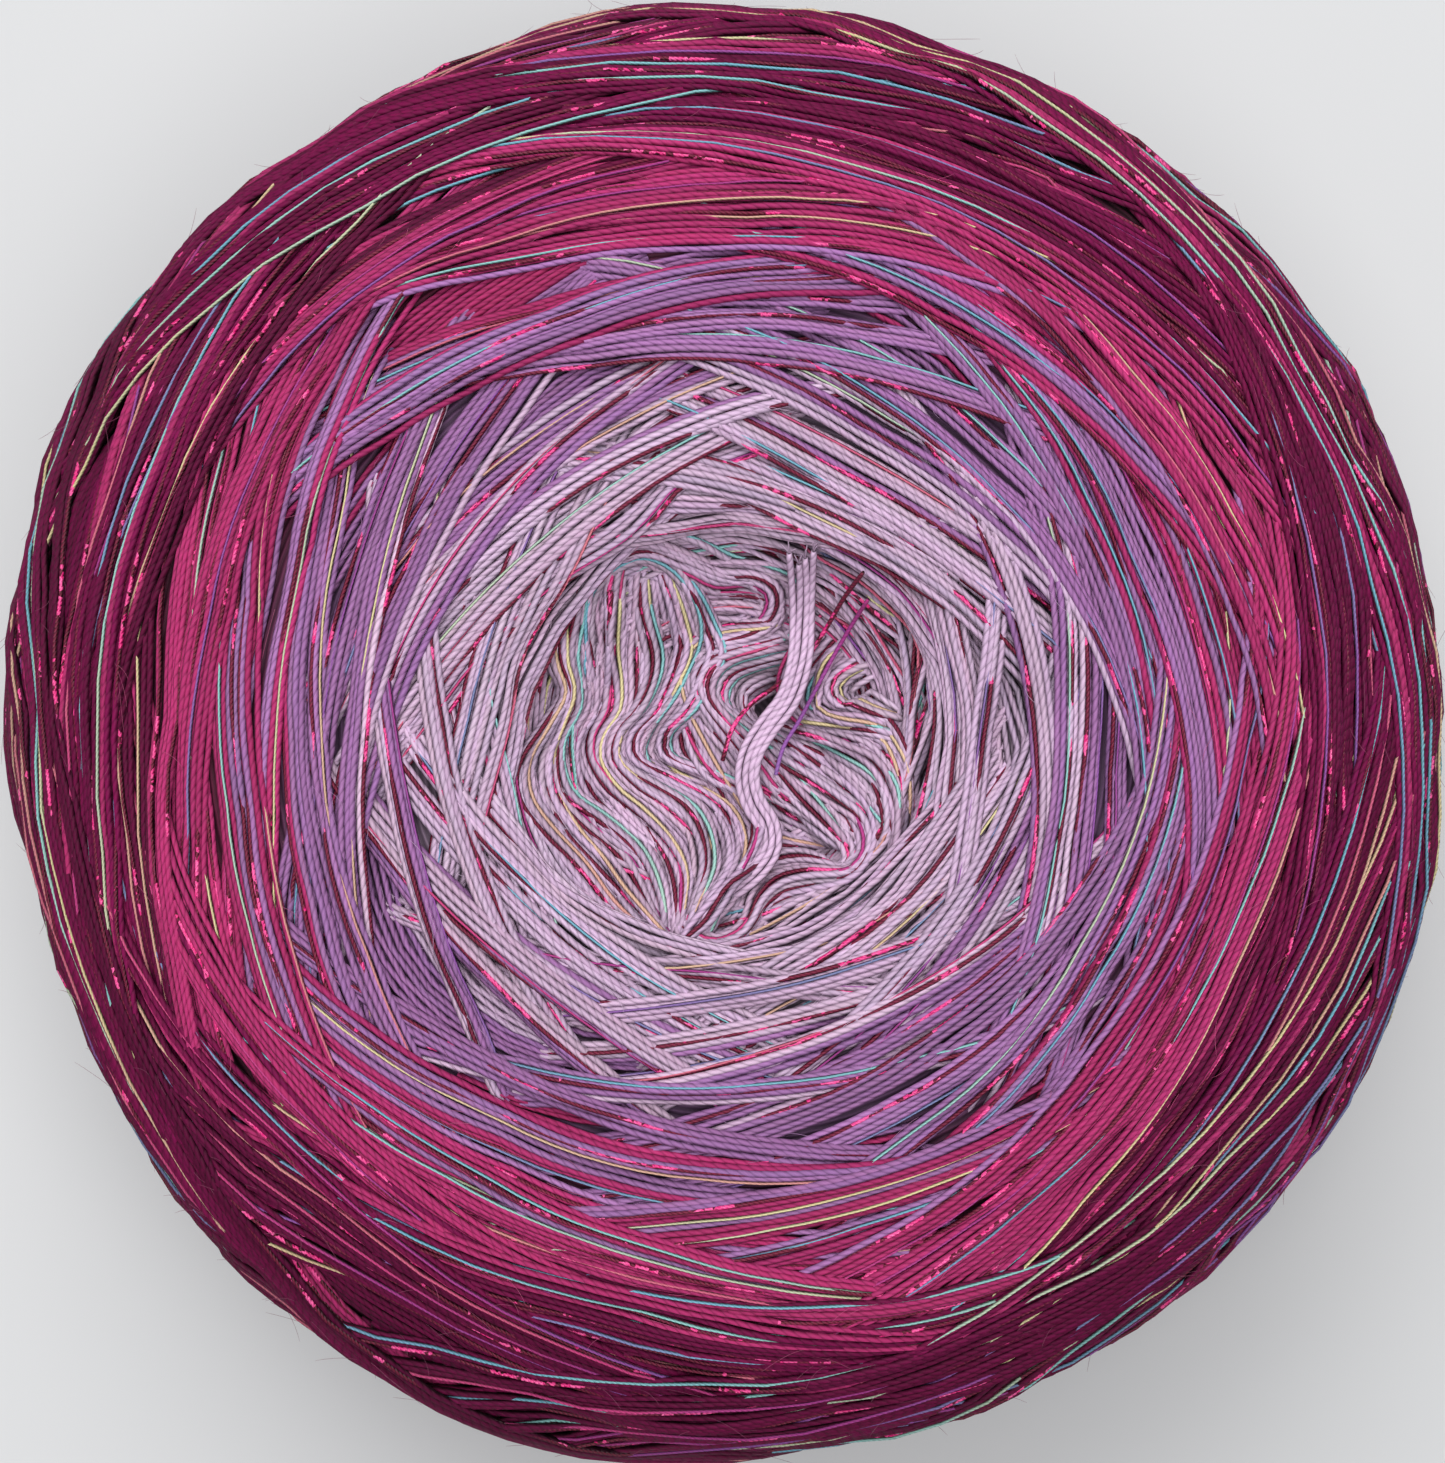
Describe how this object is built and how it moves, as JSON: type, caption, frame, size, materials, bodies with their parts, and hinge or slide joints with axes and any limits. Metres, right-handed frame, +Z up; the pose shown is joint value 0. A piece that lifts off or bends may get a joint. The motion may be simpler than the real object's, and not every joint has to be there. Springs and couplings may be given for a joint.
{
  "type": "yarn cake",
  "caption": "Squat round cake of cross-wound gradient yarn with a flat base, its inner turns slumped into the top hollow under a loose cut end; yarn for knitting or crochet.",
  "frame": {"origin": "middle of the flat end that the cake rests on, under the middle of its outline", "axes": "+Z up through the hollow, along the winding axis; +X to the right and +Y to the top of the picture, which looks straight down on the hollow end"},
  "size_m": [0.1312, 0.1318, 0.0729],
  "materials": {
    "wound_yarn": "soft matte cotton and acrylic strands, pale lilac inside to plum outside",
    "soft_strands": "soft matte pale lilac strands with a frayed cut end",
    "glitter_strand": "dark red thread with a metallic film that flashes pink",
    "dyed_strand": "thin matte thread dyed in changing colours, magenta to violet here"
  },
  "bodies": {
    "root": {"yarn_cake": "wound_yarn", "soft_end": "soft_strands", "glitter_end": "glitter_strand", "dyed_end": "dyed_strand"}
  },
  "joints": []
}
